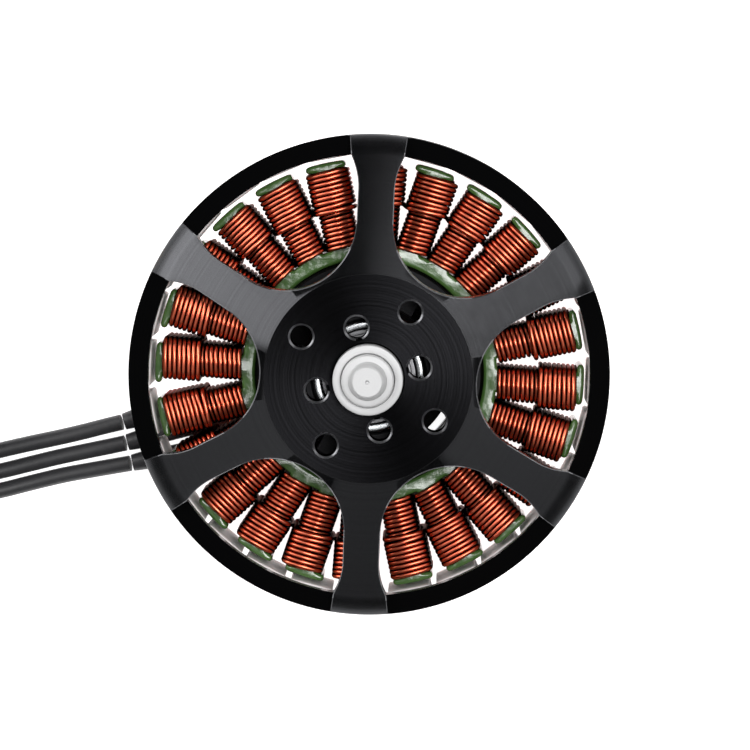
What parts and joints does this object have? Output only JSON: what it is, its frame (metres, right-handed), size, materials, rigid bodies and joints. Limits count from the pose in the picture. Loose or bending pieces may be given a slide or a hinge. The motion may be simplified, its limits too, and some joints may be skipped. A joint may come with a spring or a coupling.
{
  "type": "brushless outrunner motor",
  "caption": "Flat brushless outrunner motor: a black spoked bell with a central shaft turns round a copper-wound stator on a mounting base, with coiled leads.",
  "frame": {"origin": "on the spin axis, at the flat underside of the mounting base", "axes": "+Z along the shaft towards its free end; +X and +Y across the motor, and the leads leave towards -X"},
  "size_m": [0.1151, 0.0719, 0.032],
  "materials": {
    "anodised_bell": "black anodised, fine turned marks",
    "anodised_base": "black anodised, satin",
    "ring_steel": "black, satin",
    "magnet_nickel": "nickel plated",
    "core_epoxy": "glossy green epoxy coat",
    "copper_enamel": "orange-red enamelled copper wire, glossy",
    "machined_steel": "turned bright steel",
    "bearing_steel": "ground steel",
    "shield_steel": "pressed steel",
    "lead_silicone": "matt black silicone",
    "shrink_sleeve": "dark heat-shrink sleeve",
    "connector_gold": "gold plated",
    "tie_strap": "black woven strap"
  },
  "bodies": {
    "stator": {"coil_01": "copper_enamel", "coil_02": "copper_enamel", "coil_03": "copper_enamel", "coil_04": "copper_enamel", "coil_05": "copper_enamel", "coil_06": "copper_enamel", "coil_07": "copper_enamel", "coil_08": "copper_enamel", "coil_09": "copper_enamel", "coil_10": "copper_enamel", "coil_11": "copper_enamel", "coil_12": "copper_enamel", "coil_13": "copper_enamel", "coil_14": "copper_enamel", "coil_15": "copper_enamel", "coil_16": "copper_enamel", "coil_17": "copper_enamel", "coil_18": "copper_enamel", "coil_19": "copper_enamel", "coil_20": "copper_enamel", "coil_21": "copper_enamel", "coil_22": "copper_enamel", "coil_23": "copper_enamel", "coil_24": "copper_enamel", "lead_a": "lead_silicone", "lead_a_connector": "connector_gold", "lead_a_sleeve": "shrink_sleeve", "lead_a_tail": "lead_silicone", "lead_b": "lead_silicone", "lead_b_connector": "connector_gold", "lead_b_sleeve": "shrink_sleeve", "lead_b_tail": "lead_silicone", "lead_c": "lead_silicone", "lead_c_connector": "connector_gold", "lead_c_sleeve": "shrink_sleeve", "lead_c_tail": "lead_silicone", "lead_tie": "tie_strap", "lower_bearing_shield_over": "shield_steel", "lower_bearing_shield_under": "shield_steel", "lower_outer_race": "bearing_steel", "mount_base": "anodised_base", "stator_core": "core_epoxy", "upper_bearing_shield_over": "shield_steel", "upper_bearing_shield_under": "shield_steel", "upper_outer_race": "bearing_steel", "wound_leads": "lead_silicone"},
    "rotor": {"rotor_bell": "anodised_bell", "flux_ring": "ring_steel", "magnet_ring": "magnet_nickel", "shaft": "machined_steel", "prop_boss": "machined_steel", "upper_shim": "shield_steel", "lower_shim": "shield_steel", "retaining_clip": "shield_steel", "upper_inner_race": "bearing_steel", "lower_inner_race": "bearing_steel"},
    "upper_cage": {"upper_ball_cage": "bearing_steel"},
    "lower_cage": {"lower_ball_cage": "bearing_steel"}
  },
  "joints": [
    {"name": "rotor_spin", "type": "hinge", "parent": "stator", "child": "rotor", "pos_m": [0, 0, 0.0116], "axis": [0, 0, 1], "continuous": true},
    {"name": "upper_cage_spin", "type": "hinge", "parent": "stator", "child": "upper_cage", "pos_m": [0, 0, 0.019], "axis": [0, 0, 1], "continuous": true},
    {"name": "lower_cage_spin", "type": "hinge", "parent": "stator", "child": "lower_cage", "pos_m": [0, 0, 0.0045], "axis": [0, 0, 1], "continuous": true}
  ],
  "couplings": [
    {"joint": "upper_cage_spin", "follows": "rotor_spin", "ratio": 0.4},
    {"joint": "lower_cage_spin", "follows": "rotor_spin", "ratio": 0.4}
  ]
}
